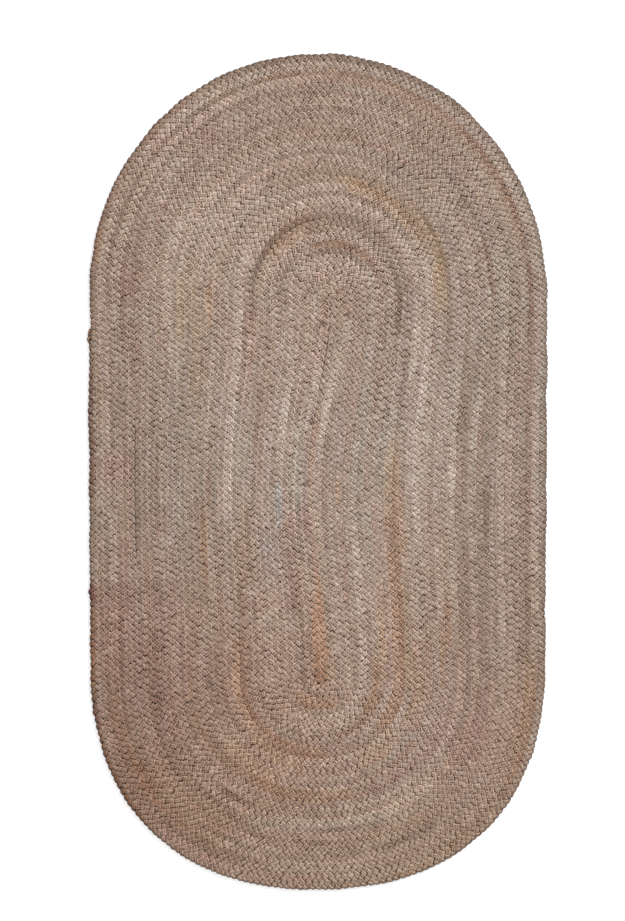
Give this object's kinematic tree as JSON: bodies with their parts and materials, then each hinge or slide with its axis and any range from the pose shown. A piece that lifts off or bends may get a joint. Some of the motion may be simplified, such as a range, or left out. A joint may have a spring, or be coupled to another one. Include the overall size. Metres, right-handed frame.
{
  "type": "oval braided rug",
  "caption": "Flat oval rug of one long braid of natural jute, wound as a coil and sewn edge to edge, that lies on a floor.",
  "frame": {"origin": "the middle of the underside, on the floor", "axes": "+Z up from the floor, +Y along the rug's length, +X to the right when seen from above with +Y up"},
  "size_m": [0.8968, 1.634, 0.01],
  "materials": {
    "jute_braid": "matt natural jute fibre, mottled taupe with grey, reddish brown and golden strands"
  },
  "bodies": {
    "root": {"braided_rug": "jute_braid"}
  },
  "joints": []
}
